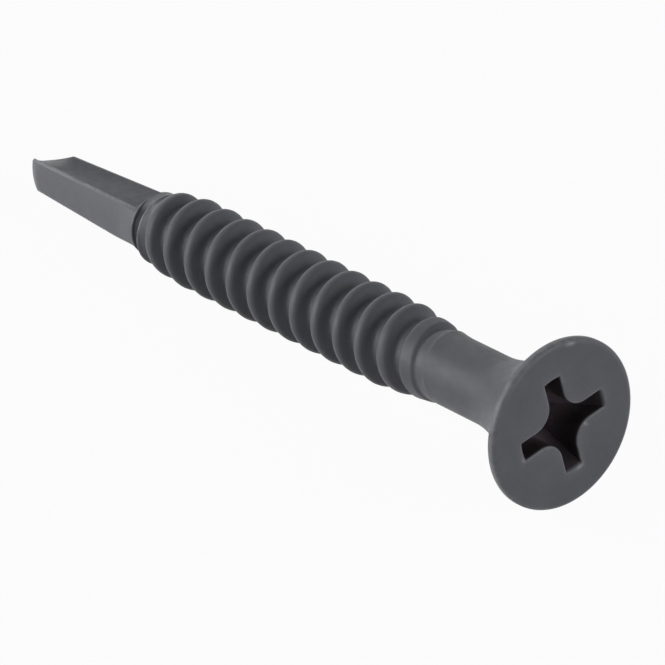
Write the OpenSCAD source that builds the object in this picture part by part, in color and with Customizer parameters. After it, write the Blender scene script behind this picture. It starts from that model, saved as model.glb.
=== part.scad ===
// Self-drilling panel screw with a bugle head, lying as it comes to rest.
// Bugle head with a cross recess, short plain shank, coarse rolled thread of
// right hand, and a pinched two-flute drill point that cuts its own hole.
// The screw is built along its own axis, from the head face to the tip, and
// then laid on the floor: the edge of its head and a thread crest touch it.

/* [Length] */
// Length from the head face to the tip
total_len = 38; // [34:0.5:60]
// Distance from the head face to the first trace of thread
thread_start = 7.4; // [6.5:0.1:12]
// Length of the drill point beyond the collar
drill_len = 8.9; // [7:0.1:11]

/* [Head] */
// Diameter of the head
head_d = 8; // [7.4:0.1:9]
// Height of the upright rim of the head
rim_h = 0.42; // [0.3:0.01:0.6]
// Rounding between the head face and the rim
rim_round = 0.18; // [0.1:0.01:0.25]
// Length of the flare from the rim to the plain shank
bugle_len = 4.4; // [3.6:0.1:5]

/* [Drive recess] */
// Distance across two opposite wings of the recess at the head face
wing_span = 4.8; // [4.2:0.1:5.2]
// Width of one wing
wing_w = 0.88; // [0.7:0.02:1.1]
// Radius of the rounded corner between two wings
wing_fillet = 0.62; // [0.3:0.02:0.8]
// Depth of the wings at their inner end
recess_depth = 2.5; // [1.8:0.1:2.8]
// Slope of the wing ends, measured from the screw's axis
wing_slope = 26.5; // [20:0.5:30]
// Turn of the recess about the axis, from the drill point's cutting edges
recess_turn = 36; // [0:1:89]

/* [Shank and thread] */
// Diameter of the plain shank, which is that of the unrolled blank
shank_d = 3.3; // [3.2:0.05:3.5]
// Diameter over the thread
thread_d = 4.2; // [4:0.05:4.6]
// Diameter at the bottom of the thread
root_d = 3; // [2.8:0.05:3.1]
// Distance from one turn of the thread to the next
pitch = 1.55; // [1.4:0.05:1.8]
// Rounding of the thread's crest
crest_round = 0.28; // [0.1:0.01:0.3]
// Angle of one thread flank, measured from a plane across the screw
flank_angle = 32; // [28:1:38]
// Number of turns over which the ridge dies out toward the head
run_out_turns = 2.4; // [1.5:0.1:3]
// Distance from the head face to where the groove of the thread begins
groove_start = 8.4; // [7.8:0.1:13]
// Number of turns over which the ridge dies out toward the drill point
run_in_turns = 2.4; // [1.5:0.1:3.5]
// Distance from the head face to a crest on the side that faces the floor
crest_at = 8.34; // [7.6:0.01:9.14]

/* [Drill point] */
// Diameter of the collar that the drill point grows from
collar_d = 3.2; // [3.1:0.05:3.3]
// Length of the collar
collar_len = 0.8; // [0.7:0.1:1.4]
// Diameter across the two cutting corners at the tip
cut_d = 2.9; // [2.7:0.05:3]
// Diameter across the two heel corners at the tip
heel_d = 2.5; // [2.3:0.02:2.6]
// Diameter that the line of the heel corners would have at the collar's end
heel_root_d = 3.3; // [3.1:0.05:3.4]
// Angle from a cutting corner back to its own heel
land_angle = 66; // [56:1:74]
// Width of the narrow margin along each cutting edge
margin_w = 0.13; // [0.08:0.01:0.2]
// Depth of the hollow in each flute face at the tip
flute_hollow = 0.32; // [0.1:0.01:0.36]
// Length over which the flutes run out into the round blank
flute_run_out = 0.3; // [0.2:0.05:1]
// Outward bulge of each land
land_bulge = 0.07; // [0.03:0.01:0.12]
// Included angle of the drill's tip, measured across the cutting corners
tip_angle = 127; // [115:1:140]
// Extra fall of the tip's faces behind the cutting edges, as a slope
relief = 0.32; // [0.1:0.01:0.4]

/* [Pose] */
// Turn of the whole screw about its axis as it lies on the floor
roll = -49; // [-180:1:180]

/* [Hidden] */
$fn = 96;

coating = [0.28, 0.285, 0.3];
// Corners of the thread around one turn, which the crest's facets rest on
sides = 44;
// Clearance that keeps a faceted skin just inside the true round it runs into
skin_gap = 0.02;
// Length by which one solid is sunk into the next before they are joined
sink = 0.5;
// Side of the upright screw that faces the floor once it lies down
down = 180 - roll;
// Steps of an arc in the outlines of the recess and of the drill point
arc_steps = 8;

head_r = head_d / 2;
shank_r = shank_d / 2;
thread_r = thread_d / 2;
root_r = root_d / 2;
collar_r = collar_d / 2;
collar_end = total_len - drill_len;
collar_start = collar_end - collar_len;

// Head and plain shank
bugle_end = rim_h + bugle_len;
flare = head_r - shank_r;
bugle_r = (bugle_len * bugle_len + flare * flare) / (2 * flare);
bugle_angle = asin(bugle_len / bugle_r);
bugle_steps = 16;

// A round profile that goes once round the axis, from the centre of the head
// face over the rim and down the flare. Each point is [radius, distance].
function rim_points() = [
    for (i = [0:6]) let (a = 90 * i / 6)
        [head_r - rim_round * (1 - sin(a)), rim_round * (1 - cos(a))]
];
function bugle_points() = [
    for (i = [0:bugle_steps]) let (a = bugle_angle * (1 - i / bugle_steps))
        [shank_r + bugle_r * (1 - cos(a)), bugle_end - bugle_r * sin(a)]
];
function head_outline() = concat(
    [[0, 0]], rim_points(), bugle_points(),
    [[shank_r, thread_start], [0, thread_start]]
);

// Thread. The profile across one turn is a rounded crest with two straight
// flanks and a narrow root, given as [offset along the axis, share of height].
crest_x = crest_round * cos(flank_angle);
crest_drop = crest_round * (1 - sin(flank_angle));
thread_h = thread_r - root_r;
foot_x = crest_x + (thread_h - crest_drop) * tan(flank_angle);
crest_share = 1 - crest_drop / thread_h;
top_x = crest_x * 0.45;
top_share = 1 - (crest_round - sqrt(crest_round * crest_round - top_x * top_x)) / thread_h;
turn_profile = [
    [-foot_x, 0], [-crest_x, crest_share], [-top_x, top_share],
    [top_x, top_share], [crest_x, crest_share], [foot_x, 0]
];
first_turn = crest_at - 2 * pitch;
thread_end = collar_end - skin_gap;
thread_turns = ceil((thread_end - first_turn) / pitch) + 1;

// Share of the way from one distance to another, held within 0 and 1
function ramp(u, from, to) = min(1, max(0, (u - from) / (to - from)));
function eased(t) = t * t * (3 - 2 * t);

// Radius of the thread's skin at a distance from the head face. At both ends
// of the thread the ridge and the groove die out into the unrolled blank, each
// over a length of its own.
blank_r = shank_r - skin_gap;
// The collar's end cuts the ridge off before it has died out
ridge_end = collar_end + 0.9;
function full_radius(share) = root_r + share * thread_h;
function ridge_share(u) = min(
    ramp(u, thread_start, thread_start + run_out_turns * pitch),
    1 - ramp(u, ridge_end - run_in_turns * pitch, ridge_end)
);
function groove_share(u) = min(
    eased(ramp(u, groove_start, groove_start + 0.2 * pitch)),
    1 - eased(ramp(u, collar_start - 0.3 * pitch, collar_start + 0.2 * pitch))
);
function skin_radius(u, share) = let (r = full_radius(share))
    u < thread_start - sink || u > thread_end
    ? root_r
    : blank_r + (r - blank_r) * (r > blank_r ? ridge_share(u) : groove_share(u));

per_turn = len(turn_profile);
rows = thread_turns * per_turn;
// Past the thread's end the rows crowd together just short of the collar's end
function crowded(u) =
    u <= thread_end
    ? u
    : thread_end + (u - thread_end) / (1 + (u - thread_end) / (0.3 * sink));
function row_distance(row, side) = crowded(
    first_turn + pitch * (floor(row / per_turn) + side / sides)
    + turn_profile[row % per_turn][0]
);
function skin_point(row, side) =
    let (u = row_distance(row, side), a = down + 360 * (side + 0.5) / sides,
         r = skin_radius(u, turn_profile[row % per_turn][1]))
    [r * cos(a), r * sin(a), u];

// Index of a point of the skin. The last side of a row is the first side of
// the row one turn further on, so that the rows run on as one long helix.
function skin_index(row, side) =
    side < sides ? row * sides + side
    : row + per_turn <= rows ? (row + per_turn) * sides
    : (rows + 1) * sides + (row + per_turn - rows - 1);
skin_points = concat(
    [for (row = [0:rows], side = [0:sides - 1]) skin_point(row, side)],
    [for (row = [rows - per_turn + 1:rows]) skin_point(row, sides)],
    [[0, 0, row_distance(per_turn / 2, 0)], [0, 0, row_distance(rows - per_turn / 2, sides)]]
);
first_centre = len(skin_points) - 2;
last_centre = len(skin_points) - 1;
skin_faces = concat(
    [for (row = [0:rows - 1], side = [0:sides - 1], half = [0, 1])
        half == 0
        ? [skin_index(row, side), skin_index(row + 1, side), skin_index(row + 1, side + 1)]
        : [skin_index(row, side), skin_index(row + 1, side + 1), skin_index(row, side + 1)]],
    [for (side = [0:sides - 1])
        [first_centre, skin_index(0, side), skin_index(0, side + 1)]],
    [for (row = [0:per_turn - 1])
        [first_centre, skin_index(row + 1, 0), skin_index(row, 0)]],
    [for (side = [0:sides - 1])
        [last_centre, skin_index(rows, side + 1), skin_index(rows, side)]],
    [for (row = [rows - per_turn:rows - 1])
        [last_centre, skin_index(row, sides), skin_index(row + 1, sides)]]
);

// Drill point. Its section has two cutting corners and two heel corners, with
// a bulging land behind each cutting corner. Before it lie a narrow margin and
// a hollow flute.
cut_r = cut_d / 2;
heel_r = heel_d / 2;
run_out_stations = 4;
drill_stations = run_out_stations + 8;
tip_drop = cut_r / tan(tip_angle / 2);
cut_start_r = collar_r - skin_gap;
drill_start = collar_end - sink;
drill_corner = total_len - tip_drop;

function polar(r, a) = [r * cos(a), r * sin(a)];
// Points from one corner toward the next. They lie on the blank's round where
// depth is 0, and where it is 1 on the chord, swollen outward by the bulge.
function side_of(from, to, bulge, depth) = [
    for (i = [0:arc_steps - 1]) let (
        t = i / arc_steps,
        across = [to[1] - from[1], from[0] - to[0]] / norm(to - from),
        turn = atan2(from[1], from[0]),
        swing = atan2(cross(from, to), from * to),
        round = polar(norm(from) + t * (norm(to) - norm(from)), turn + t * swing),
        swell = 4 * t * (1 - t) * bulge
    ) round + (from + t * (to - from) + swell * across - round) * depth
];
function half_section(cut, heel, hollow, depth, turn) = let (
    margin = margin_w / cut * 180 / PI
) concat(
    side_of(polar(heel, turn - land_angle), polar(cut, turn), land_bulge, depth),
    [polar(cut, turn)],
    side_of(polar(cut, turn + margin), polar(heel, turn + 180 - land_angle), -hollow, depth)
);
// Section at a distance from the head face
function drill_section(u) = let (
    share = ramp(u, collar_end, drill_corner),
    cut = cut_start_r + (cut_r - cut_start_r) * share,
    heel = min(cut_start_r, (heel_root_d + (heel_d - heel_root_d) * share) / 2),
    hollow = flute_hollow * share,
    depth = eased(ramp(u, collar_end - 0.1, collar_end + flute_run_out))
) concat(half_section(cut, heel, hollow, depth, 0), half_section(cut, heel, hollow, depth, 180));
function station_distance(i) =
    i == 0 ? drill_start
    : i <= run_out_stations
    ? collar_end + flute_run_out * (i - 1) / (run_out_stations - 1)
    : collar_end + flute_run_out
        + (drill_corner - collar_end - flute_run_out) * (i - run_out_stations)
        / (drill_stations - run_out_stations);

// Fall of the tip below its point: a cone, and the relief that lets the two
// cutting edges, which lie along the x axis, stand highest.
function tip_fall(p) = norm(p) * tip_drop / cut_r + abs(p[1]) * relief;
section_size = 4 * arc_steps + 2;
drill_skin = concat(
    [for (i = [0:drill_stations - 1]) let (u = station_distance(i))
        for (p = drill_section(u)) [p[0], p[1], u]],
    [for (p = drill_section(drill_corner)) [p[0], p[1], total_len - tip_fall(p)]],
    [[0, 0, drill_start], [0, 0, total_len]]
);
drill_root = len(drill_skin) - 2;
drill_tip = len(drill_skin) - 1;
function ring(i, k) = i * section_size + k % section_size;
drill_faces = concat(
    [for (i = [0:drill_stations - 1], k = [0:section_size - 1], half = [0, 1])
        half == 0
        ? [ring(i, k), ring(i + 1, k), ring(i + 1, k + 1)]
        : [ring(i, k), ring(i + 1, k + 1), ring(i, k + 1)]],
    [for (k = [0:section_size - 1]) [drill_root, ring(0, k), ring(0, k + 1)]],
    [for (k = [0:section_size - 1])
        [drill_tip, ring(drill_stations, k + 1), ring(drill_stations, k)]]
);

// Rest on the floor. The floor touches the lower edge of the rim and the
// thread crest that reaches lowest, seen along the side that faces down.
crest_reach = [
    for (turn = [0:thread_turns - 1]) let (u = first_turn + pitch * turn + top_x)
        if (u > thread_start && u < thread_end)
            [u, skin_radius(u, top_share) * cos(180 / sides)]
];
rest_slope = min([for (c = crest_reach) (head_r - c[1]) / (c[0] - rim_h)]);
rest_angle = atan(rest_slope);
axis_height = head_r * cos(rest_angle) + rim_h * sin(rest_angle);
face_reach = (head_r - rim_round) * sin(rest_angle);
middle = (total_len * cos(rest_angle) - face_reach) / 2;

module head_and_shank() {
    color(coating)
        rotate_extrude()
            polygon(head_outline());
}

// Cross of four wings whose inner corners are rounded
module recess_outline() {
    corner = wing_w / 2 + wing_fillet;
    difference() {
        union() {
            square([wing_span + 1, wing_w], center = true);
            square([wing_w, wing_span + 1], center = true);
            square(2 * corner, center = true);
        }
        for (quarter = [0:3])
            rotate(90 * quarter)
                translate([corner, corner])
                    circle(wing_fillet);
    }
}

// Tapered envelope of the recess, with a shallow cone for its floor
module recess_envelope() {
    reach = wing_span / 2;
    floor_r = reach - recess_depth * tan(wing_slope);
    above = 0.3;
    rotate_extrude()
        polygon([
            [0, -above],
            [reach + above * tan(wing_slope), -above],
            [floor_r, recess_depth],
            [0, recess_depth + floor_r / 2]
        ]);
}

module drive_recess() {
    color(coating)
        rotate(recess_turn)
            intersection() {
                translate([0, 0, -1])
                    linear_extrude(recess_depth + wing_span)
                        recess_outline();
                recess_envelope();
            }
}

module thread() {
    color(coating)
        polyhedron(skin_points, skin_faces, convexity = 10);
}

// Plain end of the blank, with a bevel that starts below the thread's root
module collar() {
    bevel = collar_r - root_r + skin_gap;
    color(coating)
        translate([0, 0, collar_start])
            rotate_extrude()
                polygon([
                    [0, 0],
                    [collar_r - bevel, 0],
                    [collar_r, bevel],
                    [collar_r, collar_len],
                    [0, collar_len]
                ]);
}

module drill_point() {
    color(coating)
        polyhedron(drill_skin, drill_faces, convexity = 6);
}

module upright_screw() {
    difference() {
        union() {
            head_and_shank();
            thread();
            collar();
            drill_point();
        }
        drive_recess();
    }
}

module screw() {
    translate([middle, 0, axis_height])
        rotate([0, -90 - rest_angle, 0])
            rotate(roll)
                upright_screw();
}

screw();
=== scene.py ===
"""Self-drilling panel screw: the finished surface, its coating and the studio.

The screw is one piece of formed wire, so one watertight surface stands for
it: rings of points that run from the floor of the drive recess, over the head
and down the shank and thread, to the tip of the drill point.
"""

import math

import bpy
import numpy as np
from mathutils import Matrix, Vector


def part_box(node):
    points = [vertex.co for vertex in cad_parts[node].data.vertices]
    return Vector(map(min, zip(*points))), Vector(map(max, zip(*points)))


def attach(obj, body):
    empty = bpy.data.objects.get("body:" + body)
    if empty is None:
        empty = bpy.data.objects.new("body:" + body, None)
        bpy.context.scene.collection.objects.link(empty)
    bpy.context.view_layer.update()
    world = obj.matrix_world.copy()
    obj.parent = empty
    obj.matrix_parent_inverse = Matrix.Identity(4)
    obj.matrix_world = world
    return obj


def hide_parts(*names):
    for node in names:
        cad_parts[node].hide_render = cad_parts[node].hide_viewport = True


bl_info = {
    "name": "Panel Screw",
    "version": (1, 0, 0),
    "blender": (4, 5, 0),
    "location": "View3D > Sidebar > Screw",
    "description": "Builds a coated self-drilling panel screw and a plain studio around it",
    "category": "Object",
}

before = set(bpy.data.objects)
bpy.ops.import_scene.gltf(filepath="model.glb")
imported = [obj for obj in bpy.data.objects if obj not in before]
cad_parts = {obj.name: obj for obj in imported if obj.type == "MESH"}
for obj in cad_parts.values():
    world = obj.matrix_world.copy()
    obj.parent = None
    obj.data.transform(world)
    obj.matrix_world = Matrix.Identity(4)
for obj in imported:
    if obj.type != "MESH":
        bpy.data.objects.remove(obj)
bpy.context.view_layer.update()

MM = 0.001
BODY = "root"
NODE = "screw"
# Points around one ring. Each quarter of the recess takes an equal share.
AROUND = 240
# Points of a ring on one margin of the drill point
ON_MARGIN = 4
# Rings of the pinched line: three along its floor and the last of the collar's edge
PINCHED_RINGS = 4
# Frame of the photograph in pixels, on which the camera is set
PICTURE = 665
# Pixel of the photograph where the middle of the head face lies
FACE_PIXEL = (563.5, 425.05)
SENSOR = 36.0


class ScrewShape(bpy.types.PropertyGroup):
    """Sizes of the screw: those of its plain solid, and of the finer forms on it."""

    total: bpy.props.FloatProperty(
        name="Length", description="Head face to tip", default=38 * MM, unit="LENGTH"
    )
    head: bpy.props.FloatProperty(
        name="Head", description="Diameter of the head", default=8 * MM, unit="LENGTH"
    )
    rim: bpy.props.FloatProperty(
        name="Rim", description="Height of the head's upright rim", default=0.42 * MM, unit="LENGTH"
    )
    rim_round: bpy.props.FloatProperty(
        name="Rim Rounding", description="Height of the rim's rounding at the face",
        default=0.18 * MM, unit="LENGTH",
    )
    rim_soft: bpy.props.FloatProperty(
        name="Rim Softness", description="Width of the rim's rounding on the face",
        default=0.27 * MM, unit="LENGTH",
    )
    bugle: bpy.props.FloatProperty(
        name="Flare", description="Length of the flare under the head", default=4.4 * MM, unit="LENGTH"
    )
    shank: bpy.props.FloatProperty(
        name="Shank", description="Diameter of the plain shank", default=3.3 * MM, unit="LENGTH"
    )
    wing_span: bpy.props.FloatProperty(
        name="Wing Span", description="Width across two wings", default=4.8 * MM, unit="LENGTH"
    )
    wing: bpy.props.FloatProperty(
        name="Wing", description="Width of one wing of the recess", default=0.88 * MM, unit="LENGTH"
    )
    wing_fillet: bpy.props.FloatProperty(
        name="Wing Corner", description="Rounding between two wings at the face",
        default=1.0 * MM, unit="LENGTH",
    )
    recess: bpy.props.FloatProperty(
        name="Recess", description="Depth of the wings", default=2.5 * MM, unit="LENGTH"
    )
    bevel: bpy.props.FloatProperty(
        name="Recess Bevel", description="Bevel at the recess's edge", default=0.08 * MM, unit="LENGTH"
    )
    wing_slope: bpy.props.FloatProperty(
        name="Wing Slope", description="Slope of the wing ends",
        default=math.radians(26.5), subtype="ANGLE",
    )
    recess_turn: bpy.props.FloatProperty(
        name="Recess Turn", description="From the cutting edges", default=math.radians(36), subtype="ANGLE"
    )
    thread: bpy.props.FloatProperty(
        name="Thread", description="Diameter over the thread", default=4.2 * MM, unit="LENGTH"
    )
    root: bpy.props.FloatProperty(
        name="Root", description="Diameter in the thread's groove", default=3 * MM, unit="LENGTH"
    )
    root_soft: bpy.props.FloatProperty(
        name="Root Softness", description="Blend of flank and root", default=0.12 * MM, unit="LENGTH"
    )
    pitch: bpy.props.FloatProperty(
        name="Pitch", description="Turn to turn", default=1.55 * MM, unit="LENGTH"
    )
    crest: bpy.props.FloatProperty(
        name="Crest", description="Rounding of the plain solid's crest", default=0.28 * MM, unit="LENGTH"
    )
    crest_soft: bpy.props.FloatProperty(
        name="Crest Softness", description="Rounding of the finished crest",
        default=0.34 * MM, unit="LENGTH",
    )
    flank: bpy.props.FloatProperty(
        name="Flank", description="Angle of one flank", default=math.radians(32), subtype="ANGLE"
    )
    thread_start: bpy.props.FloatProperty(
        name="Thread Start", description="Face to first trace of thread", default=7.4 * MM, unit="LENGTH"
    )
    run_out: bpy.props.FloatProperty(
        name="Run-out", description="Turns over which the ridge dies out at the head", default=2.4
    )
    groove_start: bpy.props.FloatProperty(
        name="Groove Start", description="Face to where the groove begins",
        default=8.35 * MM, unit="LENGTH",
    )
    run_in: bpy.props.FloatProperty(
        name="Run-in", description="Turns over which the ridge dies out at the drill", default=2.4
    )
    crest_at: bpy.props.FloatProperty(
        name="Crest Place", description="Face to a crest on the floor side",
        default=8.34 * MM, unit="LENGTH",
    )
    drill: bpy.props.FloatProperty(
        name="Drill Point", description="Length beyond the collar", default=8.9 * MM, unit="LENGTH"
    )
    collar: bpy.props.FloatProperty(
        name="Collar", description="Diameter of the collar", default=3.2 * MM, unit="LENGTH"
    )
    collar_len: bpy.props.FloatProperty(
        name="Collar Length", description="Length of the collar", default=0.8 * MM, unit="LENGTH"
    )
    neck_len: bpy.props.FloatProperty(
        name="Neck", description="Width of the pinched line at the collar's end",
        default=0.48 * MM, unit="LENGTH",
    )
    neck_depth: bpy.props.FloatProperty(
        name="Neck Depth", description="Depth of the pinched line", default=0.12 * MM, unit="LENGTH"
    )
    neck_least: bpy.props.FloatProperty(
        name="Least Neck", description="Depth of that line on the flutes", default=0.03 * MM, unit="LENGTH"
    )
    cut: bpy.props.FloatProperty(
        name="Cut", description="Diameter across the cutting corners", default=2.9 * MM, unit="LENGTH"
    )
    heel: bpy.props.FloatProperty(
        name="Heel", description="Across the heel corners at the tip", default=2.5 * MM, unit="LENGTH"
    )
    heel_root: bpy.props.FloatProperty(
        name="Heel Line", description="Where the heels' line meets the collar",
        default=3.3 * MM, unit="LENGTH",
    )
    margin: bpy.props.FloatProperty(
        name="Margin", description="Width of the margin at each cutting edge",
        default=0.13 * MM, unit="LENGTH",
    )
    flute_run_out: bpy.props.FloatProperty(
        name="Flute Run-out", description="Length over which the flutes run out",
        default=0.3 * MM, unit="LENGTH",
    )
    land: bpy.props.FloatProperty(
        name="Land", description="From cutting corner to its heel",
        default=math.radians(66), subtype="ANGLE",
    )
    hollow: bpy.props.FloatProperty(
        name="Hollow", description="Depth of the flute faces at the tip", default=0.32 * MM, unit="LENGTH"
    )
    land_bulge: bpy.props.FloatProperty(
        name="Land Bulge", description="Bulge of each land", default=0.07 * MM, unit="LENGTH"
    )
    tip: bpy.props.FloatProperty(
        name="Tip", description="Included angle of the tip", default=math.radians(127), subtype="ANGLE"
    )
    relief: bpy.props.FloatProperty(
        name="Relief", description="Fall behind the cutting edges", default=0.32
    )
    corners: bpy.props.IntProperty(
        name="Corners", description="Corners of the plain solid's thread around one turn", default=44
    )
    roll: bpy.props.FloatProperty(
        name="Roll", description="Turn about the axis as it lies",
        default=math.radians(-49), subtype="ANGLE",
    )


class ScrewFinish(bpy.types.PropertyGroup):
    """Colours, gloss and surface of the coating, with the colours of the painted light and shade on it."""

    coating: bpy.props.FloatVectorProperty(
        name="Coating", description="Colour of the coating", subtype="COLOR", size=3,
        default=(0.109, 0.1115, 0.1255),
    )
    # Lighter colour of edge wear with painted highlights, of painted glints, and of painted light on the
    # lands
    wear_and_highlight: bpy.props.FloatVectorProperty(
        name="Worn Edge", description="Colour where the coating is rubbed thin", subtype="COLOR", size=3,
        default=(0.3, 0.304, 0.32),
    )
    # Painted shade colour for the thread's roots and the flutes; also the dark end of the coating's random
    # mottling
    painted_shade: bpy.props.FloatVectorProperty(
        name="Pooled", description="Colour where the coating lies thick", subtype="COLOR", size=3,
        default=(0.054, 0.057, 0.066),
    )
    # Painted shade on the recess's walls
    recess_shade: bpy.props.FloatVectorProperty(
        name="Recess Walls", description="Colour of the drive recess's walls", subtype="COLOR", size=3,
        default=(0.026, 0.02, 0.024),
    )
    # Painted light on the recess's floor, lighter than its walls
    recess_floor_light: bpy.props.FloatVectorProperty(
        name="Recess Floor", description="Colour of the coating gathered deep in it",
        subtype="COLOR", size=3,
        default=(0.175, 0.146, 0.166),
    )
    # Painted shade along the pinched line at the collar
    pinched: bpy.props.FloatVectorProperty(
        name="Pinched Line", description="Colour of the line pinched at the collar",
        subtype="COLOR", size=3,
        default=(0.03, 0.031, 0.035),
    )
    # Share of painted shade in the thread's roots
    root_shade: bpy.props.FloatProperty(
        name="Root Share", description="How far the roots take the pooled colour",
        default=0.3, min=0, max=1, subtype="FACTOR",
    )
    # Share of painted shade on the flutes
    flute_shade: bpy.props.FloatProperty(
        name="Flute Share", description="How far the flutes take the pooled colour",
        default=0.8, min=0, max=1, subtype="FACTOR",
    )
    # Share of painted light on the lands, and of wear with painted highlight on the margins
    land_light: bpy.props.FloatProperty(
        name="Land Share", description="How far the lands take the worn colour",
        default=0.23, min=0, max=1, subtype="FACTOR",
    )
    mottling: bpy.props.FloatProperty(
        name="Mottling", description="Strength of the coating's uneven tone",
        default=0.22, min=0, max=1, subtype="FACTOR",
    )
    roughness: bpy.props.FloatProperty(
        name="Roughness", description="Roughness of the coating",
        default=0.5, min=0, max=1, subtype="FACTOR",
    )
    specular: bpy.props.FloatProperty(
        name="Specular", description="Level of the coating's plain reflection",
        default=0.28, min=0, max=1, subtype="FACTOR",
    )
    grain: bpy.props.FloatProperty(
        name="Grain", description="Strength of the coating's fine grain",
        default=0.25, min=0, max=1, subtype="FACTOR",
    )


class Studio(bpy.types.PropertyGroup):
    """Camera, lamps and floor."""

    distance: bpy.props.FloatProperty(
        name="Distance", description="Camera to head face, in depth", default=302.4 * MM, unit="LENGTH"
    )
    focal: bpy.props.FloatProperty(
        name="Focal Length", description="Focal length of the lens", default=374.7, unit="CAMERA"
    )
    azimuth: bpy.props.FloatProperty(
        name="Azimuth", description="Turn of the view", default=math.radians(50.977), subtype="ANGLE"
    )
    elevation: bpy.props.FloatProperty(
        name="Elevation", description="Height of the view", default=math.radians(29.316), subtype="ANGLE"
    )
    floor: bpy.props.FloatVectorProperty(
        name="Floor", description="Colour of the floor", subtype="COLOR", size=3, default=(0.8, 0.8, 0.8)
    )
    floor_glow: bpy.props.FloatProperty(
        name="Floor White", description="Share of plain white in the floor that is seen", default=0.955
    )
    left: bpy.props.FloatProperty(
        name="Left Lamp", description="Level of the lamp on the left", default=0.82
    )
    right: bpy.props.FloatProperty(
        name="Right Lamp", description="Level of the lamp on the right", default=0.53
    )
    back: bpy.props.FloatProperty(
        name="Back Lamp", description="Level of the lamp behind", default=0.1
    )
    lamp_size: bpy.props.FloatProperty(
        name="Lamp Size", description="Angle that each lamp fills",
        default=math.radians(50), subtype="ANGLE",
    )


def smooth(t):
    """Ease from 0 to 1: 3 t squared less 2 t cubed, with t held within 0 and 1."""
    t = np.clip(t, 0.0, 1.0)
    return t * t * (3.0 - 2.0 * t)


def soft_max(a, b, width):
    """Larger of a and b, blended where they differ by less than width.

    What they lack of that width is squared, divided by four widths and added.
    """
    near = np.maximum(width - np.abs(a - b), 0.0) / width
    return np.maximum(a, b) + near * near * width / 4.0


def turned(points, angle):
    """Points turned about the z axis by an angle."""
    cos, sin = math.cos(angle), math.sin(angle)
    x, y, z = points[..., 0], points[..., 1], points[..., 2]
    return np.stack([x * cos - y * sin, x * sin + y * cos, z], axis=-1)


def ring_angles():
    """Equal angles once around the axis, one for each point of a ring."""
    return np.arange(AROUND) * (2.0 * math.pi / AROUND)


def round_rings(radii, heights):
    """Rings whose point j lies at (r cos a_j, r sin a_j, z), for each r and z."""
    angles = ring_angles()
    count = len(heights)
    radii = np.broadcast_to(np.reshape(radii, (-1, np.size(radii) // count)), (count, AROUND))
    heights = np.broadcast_to(np.reshape(heights, (count, -1)), radii.shape)
    return np.stack([radii * np.cos(angles), radii * np.sin(angles), heights], axis=-1)


def thread_radius(s, u, angle):
    """Radius of the threaded skin at distance u and angle a.

    The offset x from the nearest crest is u less the crest's own distance,
    which grows by one pitch a turn. The crest is an arc, the flanks fall from
    it in straight lines, and the root takes over where it lies higher. Toward
    the head the ridge is scaled down and then cut off ever lower, toward the
    drill point it is scaled down, and the groove grows shallow at both ends,
    over a fifth of a pitch and over half of one.
    """
    down = math.pi - s.roll
    phase = (u - s.crest_at) / s.pitch - (angle - down) / (2.0 * math.pi)
    x = np.abs(phase - np.round(phase)) * s.pitch
    crest_x = s.crest_soft * math.cos(s.flank)
    arc = s.thread / 2 - s.crest_soft + np.sqrt(s.crest_soft**2 - np.minimum(x, crest_x) ** 2)
    flank = arc - np.maximum(x - crest_x, 0.0) / math.tan(s.flank)
    full = soft_max(flank, s.root / 2, s.root_soft)

    collar_end = s.total - s.drill
    collar_start = collar_end - s.collar_len
    ridge_end = collar_end + 0.9 * MM
    thinned = 0.02 * MM
    cut_soft = 0.1 * MM
    blank = s.shank / 2 - thinned * smooth((u - s.thread_start) / (0.5 * MM))
    grows = np.clip((u - s.thread_start) / (s.run_out * s.pitch), 0.0, 1.0)
    dies = np.clip((ridge_end - u) / (s.run_in * s.pitch), 0.0, 1.0)
    opens = smooth((u - s.groove_start) / (0.2 * s.pitch))
    closes = smooth((collar_start + 0.2 * s.pitch - u) / (0.5 * s.pitch))
    top = blank + (s.thread / 2 - blank) * grows
    cut_off = -soft_max(-full, -top, cut_soft)
    lowered = blank + (full - blank) * grows
    ridge = lowered + (cut_off - lowered) * smooth((0.95 - grows) / 0.6)
    ridge = blank + np.maximum(ridge - blank, 0.0) * dies
    groove = blank + (full - blank) * np.minimum(opens, closes)
    return np.where(full > blank, ridge, groove)


def cross_outline(s, reach):
    """Outline of the recess where its wings reach so far from the axis.

    A quarter runs from the middle of one wing's end along the end's arc to its
    corner, down the wing's side, round the fillet, and back up the next wing.
    The fillet shrinks where the wings are short, deep in the recess, so that
    some straight side is left.
    """
    half = s.wing / 2
    straight = 0.1 * MM
    round_corner = min(s.wing_fillet, reach - half - straight)
    inner = half + round_corner
    quarter = AROUND // 4
    on_end, on_side = quarter // 10, quarter // 5
    on_fillet = quarter // 2 - on_end - on_side
    across = np.linspace(0.0, half, on_end, endpoint=False)
    end = np.stack([np.sqrt(reach**2 - across**2), across], axis=-1)
    along = np.linspace(math.sqrt(reach**2 - half**2), min(inner, reach), on_side, endpoint=False)
    side = np.stack([along, np.full(on_side, half)], axis=-1)
    turn = np.linspace(0.0, math.pi / 4, on_fillet + 1)
    fillet = inner - round_corner * np.stack([np.sin(turn), np.cos(turn)], axis=-1)
    eighth = np.concatenate([end, side, fillet])
    mirrored = eighth[1:-1][::-1, ::-1]
    quarters = [np.concatenate([eighth, mirrored])]
    for _ in range(3):
        last = quarters[-1]
        quarters.append(np.stack([-last[:, 1], last[:, 0]], axis=-1))
    return np.concatenate(quarters)


def outward(outline):
    """Unit vectors that point out of a closed outline, square to its run."""
    run = np.roll(outline, -1, axis=0) - np.roll(outline, 1, axis=0)
    run /= np.linalg.norm(run, axis=1, keepdims=True)
    return np.stack([run[:, 1], -run[:, 0]], axis=-1)


def floor_reach(s):
    """Reach of the wings at the floor: half the span less the depth times the slope's tangent."""
    return s.wing_span / 2 - s.recess * math.tan(s.wing_slope)


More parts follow.
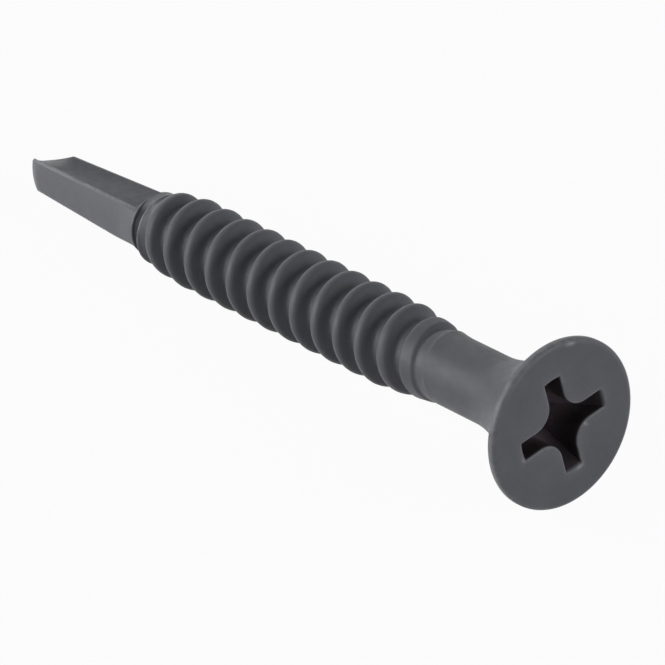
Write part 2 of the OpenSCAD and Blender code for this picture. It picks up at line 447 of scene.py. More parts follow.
def recess_rings(s):
    """Floor, walls and bevelled edge of the drive recess, from the axis outward.

    At depth d the wings reach w - d tan(slope). The floor is a shallow cone
    that falls by half a step for each step toward the axis. The bevel is a
    quarter round outside the outline, with a narrow flat ring around it.
    """
    reach = s.wing_span / 2
    rings = []
    floor_line = cross_outline(s, floor_reach(s))
    for share in (0.25, 0.5, 0.75, 1.0):
        flat = floor_line * share
        depth = s.recess + (floor_reach(s) - np.linalg.norm(flat, axis=1)) / 2
        rings.append(np.column_stack([flat, depth]))
    for depth in np.append(np.linspace(s.recess, 2 * s.bevel, 12)[1:], s.bevel):
        flat = cross_outline(s, reach - depth * math.tan(s.wing_slope))
        rings.append(np.column_stack([flat, np.full(AROUND, depth)]))
    edge = cross_outline(s, reach)
    for rise in np.radians((30, 60, 90)):
        flat = edge + outward(edge) * s.bevel * (1.0 - math.cos(rise))
        rings.append(np.column_stack([flat, np.full(AROUND, s.bevel * (1.0 - math.sin(rise)))]))
    rings.append(rings[-1] + np.column_stack([outward(edge) * 0.4 * s.bevel, np.zeros(AROUND)]))
    rings = turned(np.array(rings), s.recess_turn)
    return np.roll(rings, round(s.recess_turn / (2 * math.pi) * AROUND), axis=1)


def face_rings(s, inner):
    """Flat head face, from the recess's edge out to where the rim begins.

    Each ring lies a share of the way from the one to the other.
    """
    outer = round_rings([s.head / 2 - s.rim_soft], [0.0])[0]
    shares = np.array([0.12, 0.35, 0.6, 0.82, 0.95])[:, None, None]
    return inner + (outer - inner) * shares


def head_rings(s):
    """Rim and flare: a quarter ellipse, an upright band, and one long arc.

    The flare's arc is tangent to the shank and passes through the rim, whose
    lower edge is blunted by one ring.
    """
    head, shank = s.head / 2, s.shank / 2
    turn = np.linspace(0.0, math.pi / 2, 9)
    rim = np.column_stack([head - s.rim_soft * (1 - np.sin(turn)), s.rim_round * (1 - np.cos(turn))])
    flare = head - shank
    arc = (s.bugle**2 + flare**2) / (2 * flare)
    swing = np.linspace(math.asin(s.bugle / arc), 0.0, 40)
    bugle = np.column_stack([shank + arc * (1 - np.cos(swing)), s.rim + s.bugle - arc * np.sin(swing)])
    blunt = 0.06 * MM
    lip = np.array([[head, s.rim - blunt], [head - 0.35 * blunt, s.rim - 0.2 * blunt]])
    profile = np.concatenate([rim, lip, bugle[1:]])
    return round_rings(profile[:, :1], profile[:, 1])


def shank_rings(s):
    """Plain shank from the end of the flare to the first trace of thread."""
    u = np.linspace(s.rim + s.bugle, s.thread_start, 7)[1:]
    return round_rings(np.full(len(u), s.shank / 2), u)


def collar_radius(s, u):
    """Radius of the collar: a bevel at 45 degrees up from the root, then a plain band."""
    start = s.total - s.drill - s.collar_len
    bevel = (s.collar - s.root) / 2 + 0.02 * MM
    rise = s.collar / 2 - bevel + np.clip(u - start, 0.0, bevel)
    return np.where(u < start, 0.0, rise)


def drill_start(s):
    """Distance at which the pinched line ends and the drill point begins."""
    return s.total - s.drill - s.neck_len / 5


def pinch(s):
    """How far each column is pinched: fully on the lands, and not at all on the flutes.

    It eases by the cosine of twice the angle from the middle of a land.
    """
    return smooth(np.cos(2 * (ring_angles() + s.land / 2)) + 0.6)


def collar_rings(s):
    """Collar, over which the groove ends, its rounded edge, and the pinched line.

    The collar's radius is the larger of the thread's and its own, and its edge
    is a quarter round. The line's floor lies below the collar by its least
    depth, and by its full depth where it is pinched.
    """
    end = drill_start(s)
    wall = end - s.neck_len
    soft = 0.04 * MM
    u = np.linspace(s.total - s.drill - s.collar_len, wall - soft, 10)[:, None]
    radius = soft_max(thread_radius(s, u, ring_angles()), collar_radius(s, u), soft)
    turn = np.linspace(0.0, math.pi / 2, 4)[1:, None]
    edge = round_rings(radius[-1:] - soft * (1 - np.cos(turn)), wall - soft * (1 - np.sin(turn)))
    low = s.collar / 2 - s.neck_least - (s.neck_depth - s.neck_least) * pinch(s)
    neck = round_rings(np.tile(low, (3, 1)), [wall + 0.6 * soft, end - soft, end])
    return np.concatenate([round_rings(radius, u), edge, neck])


def row_offsets(s):
    """Offsets of one turn's rows from its crest: close on the arc, wider in the root.

    On the arc they are r sin(t) for equal steps of t, and equal steps on the
    flank, which ends a little past its foot, and in the root.
    """
    swing = np.linspace(0.0, math.pi / 2 - s.flank, 5)
    arc = s.crest_soft * np.sin(swing)
    fall = (s.thread - s.root) / 2 - s.crest_soft * (1 - math.sin(s.flank))
    foot = arc[-1] + fall * math.tan(s.flank)
    foot += 0.04 * MM
    flank = np.linspace(arc[-1], foot, 5)[1:]
    root = np.linspace(foot, s.pitch / 2, 3)[1:]
    half = np.concatenate([arc, flank, root])
    return np.concatenate([-half[-2:0:-1], half])


def thread_grid(s, start, end):
    """Rows of points that follow the helix between two planes across the screw.

    The point of row i and column j lies at crest + pitch (n + (a_j - d) / 2 pi)
    + x_k, where n and k are the turn and the place in it that the row has, and
    d is the angle of the floor side. Returns the points and their distances.
    """
    offsets = row_offsets(s)
    first = math.floor((start - s.crest_at) / s.pitch) - 3
    last = math.ceil((end - s.crest_at) / s.pitch) + 3
    turns = np.arange(first, last)[:, None] * s.pitch
    rows = (s.crest_at + turns + offsets[None, :]).reshape(-1, 1)
    angles = ring_angles()
    u = rows + s.pitch * (angles - math.pi + s.roll)[None, :] / (2.0 * math.pi)
    held = np.clip(u, start, end)
    return round_rings(thread_radius(s, held, angles), held), u, len(offsets)


def polar(radius, angle):
    """Point of the plane at a radius and an angle."""
    return radius * np.array([math.cos(angle), math.sin(angle)])


def side_of(start, end, bulge, depth, count):
    """Points from one corner toward the next, on a chord or on the blank's round.

    With t from 0 to 1 along the chord, the bulge swells it by 4 t (1 - t).
    Depth blends from the round, where it is 0, to the chord, where it is 1.
    """
    t = np.linspace(0.0, 1.0, count, endpoint=False)[:, None]
    run = end - start
    across = np.array([run[1], -run[0]]) / np.linalg.norm(run)
    turn = math.atan2(start[1], start[0])
    swing = math.atan2(start[0] * end[1] - start[1] * end[0], start @ end)
    radius = np.linalg.norm(start) * (1 - t) + np.linalg.norm(end) * t
    blank = radius * np.concatenate([np.cos(turn + t * swing), np.sin(turn + t * swing)], axis=1)
    swell = 4 * t * (1 - t) * bulge
    return blank + (start + t * run + swell * across - blank) * depth


def points_on_land(s):
    """Number of a ring's points that one land takes."""
    return round(s.land / (2 * math.pi) * AROUND)


def tip_height(s):
    """Height of the tip's cone: half the cut over the tangent of half the tip's angle."""
    return s.cut / 2 / math.tan(s.tip / 2)


def drill_section(s, u):
    """Closed section of the drill point at a distance from the head face.

    Half of it is a margin on the cutting circle, a flute's hollowed face from
    there to a heel, and a land that bulges from the heel to the next cutting
    corner. The other half is the same, half a turn round. The cut, the heel
    and the hollow change in proportion to the distance, from the collar to the
    corners. Both faces ease out of the round blank, and each point is blended
    with its two neighbours, by a quarter each.
    """
    end = s.total - s.drill
    corner = s.total - tip_height(s)
    share = min(max((u - end) / (corner - end), 0.0), 1.0)
    full = s.collar / 2 - 0.02 * MM
    cut = full + (s.cut / 2 - full) * share
    heel = min(full, (s.heel_root + (s.heel - s.heel_root) * share) / 2)
    before, land_run_out = 0.1 * MM, 1.5 * MM
    flute_depth = smooth((u - end + before) / (s.flute_run_out + before))
    land_depth = smooth((u - drill_start(s)) / land_run_out)
    margin = s.margin / cut
    on_land = points_on_land(s)
    on_flute = AROUND // 2 - ON_MARGIN - on_land
    turn = np.linspace(0.0, margin, ON_MARGIN, endpoint=False)
    edge = cut * np.stack([np.cos(turn), np.sin(turn)], axis=-1)
    heel_corner = polar(heel, math.pi - s.land)
    flute = side_of(polar(cut, margin), heel_corner, -s.hollow * share, flute_depth, on_flute)
    land = side_of(heel_corner, polar(cut, math.pi), s.land_bulge, land_depth, on_land)
    half = np.concatenate([edge, flute, land])
    section = np.concatenate([half, -half])
    return (np.roll(section, 1, axis=0) + 2 * section + np.roll(section, -1, axis=0)) / 4


def drill_rings(s):
    """Shoulder, drill body and tip.

    The tip falls from its point by a cone plus the relief, which is the
    distance from the line through the cutting corners times a slope.
    """
    flutes_start = s.total - s.drill + s.flute_run_out
    corner = s.total - tip_height(s)
    shoulder = np.linspace(drill_start(s), flutes_start, 8)
    body = np.linspace(flutes_start, corner, 24)[1:-1]
    rings = [np.column_stack([drill_section(s, u), np.full(AROUND, u)]) for u in (*shoulder, *body)]
    section = drill_section(s, corner)
    cone = np.linalg.norm(section, axis=1) * tip_height(s) / (s.cut / 2)
    fall = cone + np.abs(section[:, 1]) * s.relief
    for share in (1.0, 0.985, 0.8, 0.6, 0.4, 0.2, 0.08):
        rings.append(np.column_stack([section * share, s.total - fall * share]))
    return np.array(rings)


def drill_masks(s, total):
    """Masks of the drill point's lands and flutes, whose rings come last before the poles.

    The lands take painted light and the flutes painted shade. The margins count
    as land, threefold at the tip and not at all at the collar, where they are
    partly worn and partly a painted highlight along the cutting edges.
    """
    land = np.zeros(AROUND // 2)
    land[-points_on_land(s) :] = 1.0
    margin = np.zeros(AROUND // 2)
    margin[:ON_MARGIN] = 1.0
    along = drill_rings(s)[:, 0, 2]
    near_tip = smooth((along - s.total + 0.73 * s.drill) / (0.4 * s.drill))[:, None]
    masks = {}
    for name, half in (("land", land + 3.0 * margin * near_tip), ("flute", 1.0 - land - margin)):
        half = np.broadcast_to(half, (len(along), AROUND // 2))
        values = np.zeros(total)
        values[-2 - 2 * half.size : -2] = np.tile(half, 2).ravel()
        masks[name] = values
    return masks


def scuffs_and_glints(s, points):
    """Mask of a scuff on the collar, and of painted glints: one on the rim and three at the recess's edge.

    Each falls off by the bell curve of the distance along the axis, of the turn
    about it and of the distance out from it, all from the spot's middle. The
    two turns are in degrees.
    """
    wing_end = s.wing_span / 2 + s.bevel
    turn = np.arctan2(points[:, 1], points[:, 0])
    radius = np.hypot(points[:, 0], points[:, 1])
    mask = np.zeros(len(points))
    for u, angle, out, length, width, height in (
        # The collar's scuff, then painted glints: one on the rim and three at the recess's edge
        (s.total - s.drill - 0.8 * MM, 18, s.collar / 2, 0.4 * MM, 17, 1.0 * MM),
        (0.03 * MM, 58, s.head / 2 - 0.2 * MM, 0.2 * MM, 4, 0.08 * MM),
        (0, 209, wing_end, 0.2 * MM, 6, 0.07 * MM),
        (0, 297, wing_end, 0.2 * MM, 4, 0.06 * MM),
        (0, 157, 1.27 * MM, 0.2 * MM, 10, 0.07 * MM),
    ):
        along = (points[:, 2] - u) / length
        about = np.remainder(turn - math.radians(angle) + math.pi, 2 * math.pi) - math.pi
        about /= math.radians(width)
        away = (radius - out) / height
        mask = np.maximum(mask, np.exp(-(along**2) - about**2 - away**2))
    return mask


def coating_masks(s, points, recess, thread, neck):
    """Masks for the coating's colours, with its painted light and shade, on the upright points.

    The painted shade on the recess's walls and the painted light on its floor
    count by their depth, the painted shade in the thread's root by its depth
    below the shank, and the painted shade on the pinched line by how far it is
    pinched. The coating is kept from wear in the recess, on the pinched line,
    and on the ridges where they are low, and half kept at the recess's edge.
    """
    floor_pole = len(points) - 2
    depth = points[recess, 2]
    height = np.hypot(points[thread, 0], points[thread, 1]) - s.shank / 2
    painted_shade, recess_shade, recess_floor_light, pinched = np.zeros((4, len(points)))
    # Painted shade in the thread's roots, by their depth below the shank
    painted_shade[thread] = smooth(-height / (0.15 * MM))
    # Painted shade on the recess's walls, by their depth
    recess_shade[recess] = smooth(depth / (0.16 * MM))
    # Painted light on the recess's floor, by its depth
    recess_floor_light[recess] = smooth((depth - 0.5 * MM) / (1.6 * MM))
    recess_shade[floor_pole] = recess_floor_light[floor_pole] = 1.0
    # Painted shade along the pinched line, by how far it is pinched
    pinched[neck] = np.tile(pinch(s), PINCHED_RINGS)
    kept = np.maximum(recess_shade, pinched)
    kept[recess] = np.maximum(kept[recess], 0.5)
    kept[thread] = 1.0 - 0.5 * smooth((height - 0.06 * MM) / (0.3 * MM))
    return {
        "painted_shade": painted_shade,
        "recess_shade": recess_shade,
        "recess_floor_light": recess_floor_light,
        "pinched": pinched,
        "kept": kept,
        "scuffs_and_glints": scuffs_and_glints(s, points),
        **drill_masks(s, len(points)),
    }


def resting(s):
    """Matrix that lays the upright screw on the floor.

    The floor touches the rim's lower edge and, of all crests, the one for which
    the line from that edge falls least. It is the plain solid's crests that
    rest on the floor. They are flat for a little to each side, which counts
    here, and have a set number of corners around one turn.
    """
    head = s.head / 2
    flat = 0.45 * s.crest * math.cos(s.flank)
    turns = np.arange(-2, math.ceil(s.total / s.pitch))
    crests = s.crest_at + s.pitch * turns + flat
    last = s.total - s.drill - 0.2 * MM
    crests = crests[(crests > s.thread_start) & (crests < last)]
    radii = thread_radius(s, crests, math.pi - s.roll) * math.cos(math.pi / s.corners)
    angle = math.atan(np.min((head - radii) / (crests - s.rim)))
    height = head * math.cos(angle) + s.rim * math.sin(angle)
    middle = (s.total * math.cos(angle) - (head - s.rim_round) * math.sin(angle)) / 2
    lay = Matrix.Rotation(-math.pi / 2 - angle, 4, "Y") @ Matrix.Rotation(s.roll, 4, "Z")
    return Matrix.Translation((middle, 0, height)) @ lay


def ring_faces(count, offset):
    """Quads between each ring and the next, for rings numbered on from offset."""
    row = offset + np.arange(count - 1)[:, None] * AROUND
    here = np.arange(AROUND)[None, :]
    ahead = (here + 1) % AROUND
    quads = np.stack([row + here, row + ahead, row + AROUND + ahead, row + AROUND + here], axis=-1)
    return quads.reshape(-1, 4)


def helix_faces(u, per_turn, offset, start, end):
    """Quads of the helical rows, joined to the plane ring before and after them.

    A point before the start plane stands for the last plane ring's point of its
    column, and one past the end plane for the next plane ring's. The column
    after the last is the first column one turn further on.
    """
    rows = len(u)
    before = offset - AROUND + np.arange(AROUND)
    after = offset + rows * AROUND + np.arange(AROUND)
    index = offset + np.arange(rows * AROUND).reshape(rows, AROUND)
    index = np.where(u <= start, before, index)
    index = np.where(u >= end, after, index)
    seam = np.concatenate([index[per_turn:, 0], np.full(per_turn, after[0])])
    index = np.column_stack([index, seam])
    quads = np.stack([index[:-1, :-1], index[:-1, 1:], index[1:, 1:], index[1:, :-1]], axis=-1)
    quads = quads.reshape(-1, 4)
    here = quads[:, 0] != quads[:, 3]
    ahead = quads[:, 1] != quads[:, 2]
    whole = quads[here & ahead]
    triangles = np.concatenate([quads[here & ~ahead][:, [0, 1, 3]], quads[~here & ahead][:, [0, 1, 2]]])
    return whole, triangles


def closed_mesh(name, points, quads, triangles, masks):
    """Mesh of the points that its quads and triangles use, with a mask on each point."""
    corners = np.concatenate([quads.ravel(), triangles.ravel()])
    used, corners = np.unique(corners, return_inverse=True)
    points = points[used]
    sizes = np.concatenate([np.full(len(quads), 4), np.full(len(triangles), 3)])
    starts = np.concatenate([[0], np.cumsum(sizes)[:-1]])
    mesh = bpy.data.meshes.new(name)
    mesh.vertices.add(len(points))
    mesh.vertices.foreach_set("co", points.astype(np.float32).ravel())
    mesh.loops.add(len(corners))
    mesh.loops.foreach_set("vertex_index", corners.astype(np.int32).ravel())
    mesh.polygons.add(len(sizes))
    mesh.polygons.foreach_set("loop_start", starts.astype(np.int32))
    mesh.update(calc_edges=True)
    mesh.validate()
    mesh.shade_smooth()
    for mask_name, values in masks.items():
        add_mask(mesh, mask_name, values[used])
    return mesh


def add_mask(mesh, name, values):
    """Point attribute that the coating reads."""
    mask = mesh.attributes.new(name, "FLOAT", "POINT")
    mask.data.foreach_set("value", values.astype(np.float32))


def mask_values(mesh, name):
    """Values of a point attribute."""
    values = np.empty(len(mesh.vertices), np.float32)
    mesh.attributes[name].data.foreach_get("value", values)
    return values


def spread(values, pairs, rounds):
    """Values blended half and half with the mean of their neighbours, some rounds over."""
    count = np.bincount(pairs.ravel(), minlength=len(values))
    for _ in range(rounds):
        total = np.zeros(len(values))
        np.add.at(total, pairs[:, 0], values[pairs[:, 1]])
        np.add.at(total, pairs[:, 1], values[pairs[:, 0]])
        values = (values + total / np.maximum(count, 1)) / 2
    return values


def edge_bends(mesh):
    """Sharpest outward bend at each point, per millimetre, and the pairs of neighbours.

    The bend along an edge is the change of the normal along it, taken in the
    edge's direction, divided by its length. It is 1 / r on a round of radius r.
    """
    points = np.empty(len(mesh.vertices) * 3, np.float32)
    mesh.vertices.foreach_get("co", points)
    points = points.reshape(-1, 3) / MM
    normals = np.empty(len(mesh.vertices) * 3, np.float32)
    mesh.vertex_normals.foreach_get("vector", normals)
    normals = normals.reshape(-1, 3)
    pairs = np.empty(len(mesh.edges) * 2, np.int32)
    mesh.edges.foreach_get("vertices", pairs)
    pairs = pairs.reshape(-1, 2)
    run = points[pairs[:, 1]] - points[pairs[:, 0]]
    turn = normals[pairs[:, 1]] - normals[pairs[:, 0]]
    bend = np.sum(run * turn, axis=1) / np.maximum(np.sum(run * run, axis=1), 1e-5)
    outward_bend = np.zeros(len(points))
    for end in (0, 1):
        np.maximum.at(outward_bend, pairs[:, end], bend)
    return spread(outward_bend, pairs, 2), pairs


def add_wear_and_glints(mesh):
    """Mask of where the coating is rubbed thin, and of painted highlights.

    It is the outward bends, counted from 2 to 14 per millimetre and softened
    over their neighbours, where the coating isn't kept, or the scuff and the
    painted glints where those are stronger. On the crests and along the drill's
    cutting edges these lightened bends are partly wear and partly a painted highlight.
    """
    outward_bend, pairs = edge_bends(mesh)
    wear_and_glints = spread(np.clip((outward_bend - 2.0) / 12.0, 0.0, 1.0), pairs, 3)
    wear_and_glints = np.minimum(1.25 * wear_and_glints, 1.0) * (1.0 - mask_values(mesh, "kept"))
    add_mask(mesh, "wear_and_glints", np.maximum(wear_and_glints, mask_values(mesh, "scuffs_and_glints")))


def screw_mesh(s):
    """Whole surface of the screw, as it lies on the floor.

    It is made upright, with its axis on z and its head face at 0. Plane rings
    lie before and after the thread's helical rows, and a fan of triangles
    closes the recess's floor and the tip.
    """
    thread_end = s.total - s.drill - s.collar_len
    recess, collar = recess_rings(s), collar_rings(s)
    before = np.concatenate([recess, face_rings(s, recess[-1]), head_rings(s), shank_rings(s)])
    after = np.concatenate([collar, drill_rings(s)])
    grid, u, per_turn = thread_grid(s, s.thread_start, thread_end)
    poles = np.array([[0, 0, s.recess + floor_reach(s) / 2], [0, 0, s.total]])
    points = np.concatenate([part.reshape(-1, 3) for part in (before, grid, after)] + [poles])
    offset = len(before) * AROUND
    past = offset + len(u) * AROUND
    whole, triangles = helix_faces(u, per_turn, offset, s.thread_start, thread_end)
    quads = np.concatenate([ring_faces(len(before), 0), whole, ring_faces(len(after), past)])
    here = np.arange(AROUND)
    ahead = (here + 1) % AROUND
    floor_pole, tip_pole = len(points) - 2, len(points) - 1
    tail = floor_pole - AROUND
    first_fan = np.stack([np.full(AROUND, floor_pole), ahead, here], axis=-1)
    last_fan = np.stack([np.full(AROUND, tip_pole), tail + here, tail + ahead], axis=-1)
    triangles = np.concatenate([triangles, first_fan, last_fan])
    neck_end = past + len(collar) * AROUND
    neck = slice(neck_end - PINCHED_RINGS * AROUND, neck_end)
    masks = coating_masks(s, points, slice(0, len(recess) * AROUND), slice(offset, past), neck)
    matrix = np.array(resting(s))
    points = points @ matrix[:3, :3].T + matrix[:3, 3]
    low, high = (np.array(corner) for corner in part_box(NODE))
    mesh = closed_mesh("coated_screw", np.clip(points, low, high), quads, triangles, masks)
    add_wear_and_glints(mesh)
    return mesh


def new_material(name):
    """Material with nothing in it but a shader and its output."""
    material = bpy.data.materials.new(name)
    material.use_nodes = True
    nodes = material.node_tree.nodes
    return material, nodes, material.node_tree.links, nodes["Principled BSDF"]


def noise(nodes, links, place, scale, detail):
    """Noise whose largest forms are one unit over the scale across."""
    node = nodes.new("ShaderNodeTexNoise")
    node.inputs["Scale"].default_value = scale
    node.inputs["Detail"].default_value = detail
    links.new(place.outputs["Object"], node.inputs["Vector"])
    return node.outputs["Fac"]


def ranged(nodes, links, value, low, high, to_low, to_high):
    """Value carried from one range to another and held there."""
    node = nodes.new("ShaderNodeMapRange")
    node.inputs["From Min"].default_value = low
    node.inputs["From Max"].default_value = high
    node.inputs["To Min"].default_value = to_low
    node.inputs["To Max"].default_value = to_high
    links.new(value, node.inputs["Value"])
    return node.outputs["Result"]


def joined(nodes, links, operation, first, second):
    """Two values, or a value and a number, put together."""
    node = nodes.new("ShaderNodeMath")
    node.operation = operation
    links.new(first, node.inputs[0])
    if isinstance(second, (int, float)):
        node.inputs[1].default_value = second
    else:
        links.new(second, node.inputs[1])
    return node.outputs["Value"]


def tinted(nodes, links, base, colour, amount):
    """Base colour, a socket or plain, mixed with a plain colour by an amount."""
    node = nodes.new("ShaderNodeMix")
    node.data_type = "RGBA"
    if isinstance(base, bpy.types.NodeSocket):
        links.new(base, node.inputs["A"])
    else:
        node.inputs["A"].default_value = (*base, 1.0)
    node.inputs["B"].default_value = (*colour, 1.0)
    links.new(amount, node.inputs["Factor"])
    return node.outputs["Result"]


def mask(nodes, name):
    """Mask that was laid on the mesh's points."""
    node = nodes.new("ShaderNodeAttribute")
    node.attribute_name = name
    return node.outputs["Fac"]


def coating_material(finish):
    """Dark matt coating: mottled, rubbed thin along edges, with painted light and shade.

    Painted shade darkens the thread's roots, the flutes, the recess's walls and
    the pinched line; painted light brightens the lands and the recess's floor;
    the edge wear is partly a painted highlight, and painted glints sit on the
    rim and at the recess's edge. Its tone drifts over a millimetre and its grain
    is some hundredths of one. The mask of wear and glints is broken up by noise,
    so that bare spots come and go. The scales of noise are in forms per metre.
    """
    material, nodes, links, shader = new_material("dark_coating")
    place = nodes.new("ShaderNodeTexCoord")
    drift = noise(nodes, links, place, 700.0, 3.0)
    blotch = noise(nodes, links, place, 2600.0, 4.0)
    grain = noise(nodes, links, place, 14000.0, 2.0)

    # Painted shade in the thread's roots and on the flutes, plus the coating's random mottling
    painted_shade = joined(nodes, links, "MULTIPLY", mask(nodes, "painted_shade"), finish.root_shade)
    flute = joined(nodes, links, "MULTIPLY", mask(nodes, "flute"), finish.flute_shade)
    shaded = joined(nodes, links, "MAXIMUM", painted_shade, flute)
    tone = ranged(nodes, links, drift, 0.35, 0.65, 0.0, finish.mottling)
    darkened = joined(nodes, links, "ADD", shaded, tone)
    colour = tinted(nodes, links, finish.coating, finish.painted_shade, darkened)

    # Lighter colour: edge wear with painted highlights, painted glints, painted light on the lands, and
    # fine specks of wear
    broken = ranged(nodes, links, blotch, 0.38, 0.62, 0.5, 1.0)
    wear_and_glints = joined(nodes, links, "MULTIPLY", mask(nodes, "wear_and_glints"), broken)
    land = joined(nodes, links, "MULTIPLY", mask(nodes, "land"), finish.land_light)
    specks = ranged(nodes, links, grain, 0.45, 0.75, 0.0, 0.05)
    thin = joined(nodes, links, "ADD", joined(nodes, links, "MAXIMUM", wear_and_glints, land), specks)
    colour = tinted(nodes, links, colour, finish.wear_and_highlight, thin)
    # Painted shade on the pinched line and the recess's walls, then painted light on the recess's floor
    for name in ("pinched", "recess_shade", "recess_floor_light"):
        colour = tinted(nodes, links, colour, getattr(finish, name), mask(nodes, name))
    links.new(colour, shader.inputs["Base Color"])

    rough = ranged(nodes, links, blotch, 0.3, 0.7, finish.roughness - 0.06, finish.roughness + 0.06)
    rough = joined(nodes, links, "SUBTRACT", rough, joined(nodes, links, "MULTIPLY", wear_and_glints, 0.12))
    rough = joined(nodes, links, "ADD", rough, joined(nodes, links, "MULTIPLY", shaded, 0.1))
    links.new(rough, shader.inputs["Roughness"])
    shader.inputs["Specular IOR Level"].default_value = finish.specular

    peel = nodes.new("ShaderNodeBump")
    peel.inputs["Strength"].default_value = finish.grain
    peel.inputs["Distance"].default_value = 0.02 * MM
    links.new(blotch, peel.inputs["Height"])
    tooth = nodes.new("ShaderNodeBump")
    tooth.inputs["Strength"].default_value = finish.grain
    tooth.inputs["Distance"].default_value = 0.004 * MM
    links.new(grain, tooth.inputs["Height"])
    links.new(peel.outputs["Normal"], tooth.inputs["Normal"])
    links.new(tooth.outputs["Normal"], shader.inputs["Normal"])
    return material


class BuildScrew(bpy.types.Operator):
    """Build the screw's finished surface in place of its plain solid."""

    bl_idname = "panel_screw.screw"
    bl_label = "Screw"

    def execute(self, context):
        mesh = screw_mesh(context.scene.screw_shape)
        screw = bpy.data.objects.new("coated_screw", mesh)
        context.scene.collection.objects.link(screw)
        mesh.materials.append(coating_material(context.scene.screw_finish))
        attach(screw, BODY)
        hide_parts(NODE)
        return {"FINISHED"}


class BuildStudio(bpy.types.Operator):
    """Set the floor, the lamps and the camera."""

    bl_idname = "panel_screw.studio"
    bl_label = "Studio"

    def execute(self, context):
        scene = context.scene
        studio = scene.screw_studio
        add_floor(scene, studio)
        add_sky(scene)
        add_lamps(scene, studio)
        add_camera(scene, studio)
        scene.view_settings.view_transform = "Standard"
        return {"FINISHED"}


def shown_white(nodes, links, plain, shown, share):
    """Mix a shader with a white glow that the camera, gloss and glass see by a share."""
    path = nodes.new("ShaderNodeLightPath")
    seen = joined(nodes, links, "MAXIMUM", path.outputs["Is Camera Ray"], path.outputs["Is Glossy Ray"])
    seen = joined(nodes, links, "MAXIMUM", seen, path.outputs["Is Transmission Ray"])
    mix = nodes.new("ShaderNodeMixShader")
    links.new(joined(nodes, links, "MULTIPLY", seen, share), mix.inputs["Fac"])
    links.new(plain, mix.inputs[1])
    links.new(shown, mix.inputs[2])
    return mix.outputs["Shader"]


def floor_material(studio):
    """Matt white floor, whose shadow stays visible under a share of plain white."""
    material, nodes, links, shader = new_material("pale_floor")
    shader.inputs["Base Color"].default_value = (*studio.floor, 1.0)
    shader.inputs["Roughness"].default_value = 0.9
    shader.inputs["Specular IOR Level"].default_value = 0.0
    glow = nodes.new("ShaderNodeEmission")
    glow.inputs["Strength"].default_value = 1.0
    seen = shown_white(nodes, links, shader.outputs["BSDF"], glow.outputs["Emission"], studio.floor_glow)
    links.new(seen, nodes["Material Output"].inputs["Surface"])
    return material


def add_floor(scene, studio):
    """Broad floor under the screw."""
    size = 2.0
    mesh = bpy.data.meshes.new("floor")
    corners = [(-size, -size, 0), (size, -size, 0), (size, size, 0), (-size, size, 0)]
    mesh.from_pydata(corners, [], [(0, 1, 2, 3)])
    mesh.materials.append(floor_material(studio))
    floor = bpy.data.objects.new("floor", mesh)
    scene.collection.objects.link(floor)


def add_sky(scene):
    """Sky that sheds no light, and is white where it is seen."""
    world = bpy.data.worlds.new("sky")
    world.use_nodes = True
    nodes, links = world.node_tree.nodes, world.node_tree.links
    dark = nodes["Background"]
    dark.inputs["Strength"].default_value = 0.0
    white = nodes.new("ShaderNodeBackground")
    white.inputs["Color"].default_value = (1, 1, 1, 1)
    seen = shown_white(nodes, links, dark.outputs["Background"], white.outputs["Background"], 1.0)
    links.new(seen, nodes["World Output"].inputs["Surface"])
    scene.world = world


def toward(azimuth, elevation):
    """Unit vector that points out from the screw at an azimuth and an elevation."""
    level = math.cos(elevation)
    return Vector((math.sin(azimuth) * level, -math.cos(azimuth) * level, math.sin(elevation)))


def add_lamps(scene, studio):
    """Broad soft lamps: a low one on each side of the camera and a faint one behind.

    A lamp's level is the brightness that it gives to a white face turned to it.
    The azimuths and elevations are in degrees.
    """
    for name, azimuth, elevation, level in (
        ("left_lamp", 327, 15, studio.left),
        ("right_lamp", 113, 15, studio.right),
        ("back_lamp", 253, 30, studio.back),
    ):
        data = bpy.data.lights.new(name, "SUN")
        data.energy = level * math.pi
        data.angle = studio.lamp_size
        lamp = bpy.data.objects.new(name, data)
        scene.collection.objects.link(lamp)
        place = toward(math.radians(azimuth), math.radians(elevation))
        lamp.matrix_world = place.to_track_quat("Z", "Y").to_matrix().to_4x4()


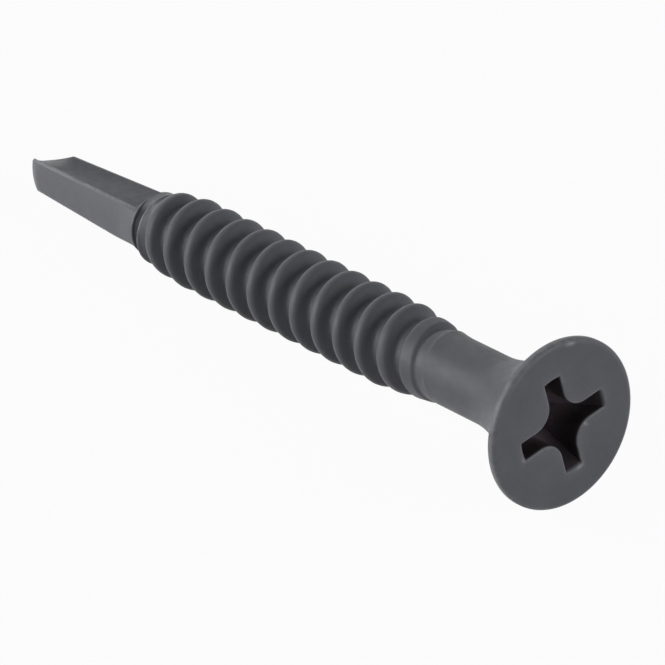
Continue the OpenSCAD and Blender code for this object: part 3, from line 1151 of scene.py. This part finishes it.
def view_axes(studio):
    """Right, up and backward directions of a camera at the studio's angles."""
    back = toward(studio.azimuth, studio.elevation)
    right = Vector((math.cos(studio.azimuth), math.sin(studio.azimuth), 0.0))
    return right, back.cross(right), back


def add_camera(scene, studio):
    """Long lens that puts the head face where the photograph shows it."""
    data = bpy.data.cameras.new("camera")
    data.lens = studio.focal
    data.sensor_width = SENSOR
    data.clip_end = 10.0
    camera = bpy.data.objects.new("camera", data)
    scene.collection.objects.link(camera)
    scene.camera = camera
    right, up, back = view_axes(studio)
    face = resting(scene.screw_shape) @ Vector((0, 0, 0))
    per_pixel = studio.distance * SENSOR / studio.focal / PICTURE
    across = (FACE_PIXEL[0] - PICTURE / 2) * per_pixel
    rise = (PICTURE / 2 - FACE_PIXEL[1]) * per_pixel
    place = face - right * across - up * rise + back * studio.distance
    turn = Matrix((right, up, back)).transposed().to_4x4()
    camera.matrix_world = Matrix.Translation(place) @ turn


class SCREW_PT_panel(bpy.types.Panel):
    """Lists the steps that build the screw."""

    bl_label = "Panel Screw"
    bl_space_type = "VIEW_3D"
    bl_region_type = "UI"
    bl_category = "Screw"

    def draw(self, context):
        self.layout.operator(BuildScrew.bl_idname)
        self.layout.operator(BuildStudio.bl_idname)


CLASSES = (ScrewShape, ScrewFinish, Studio, BuildScrew, BuildStudio, SCREW_PT_panel)


def register():
    """Make the classes and the scene's settings known."""
    for cls in CLASSES:
        bpy.utils.register_class(cls)
    bpy.types.Scene.screw_shape = bpy.props.PointerProperty(type=ScrewShape)
    bpy.types.Scene.screw_finish = bpy.props.PointerProperty(type=ScrewFinish)
    bpy.types.Scene.screw_studio = bpy.props.PointerProperty(type=Studio)


def unregister():
    """Take the settings and the classes away again."""
    del bpy.types.Scene.screw_shape
    del bpy.types.Scene.screw_finish
    del bpy.types.Scene.screw_studio
    for cls in reversed(CLASSES):
        bpy.utils.unregister_class(cls)


def main():
    """Build the screw and the studio."""
    register()
    bpy.ops.panel_screw.screw()
    bpy.ops.panel_screw.studio()


if __name__ == "__main__":
    main()
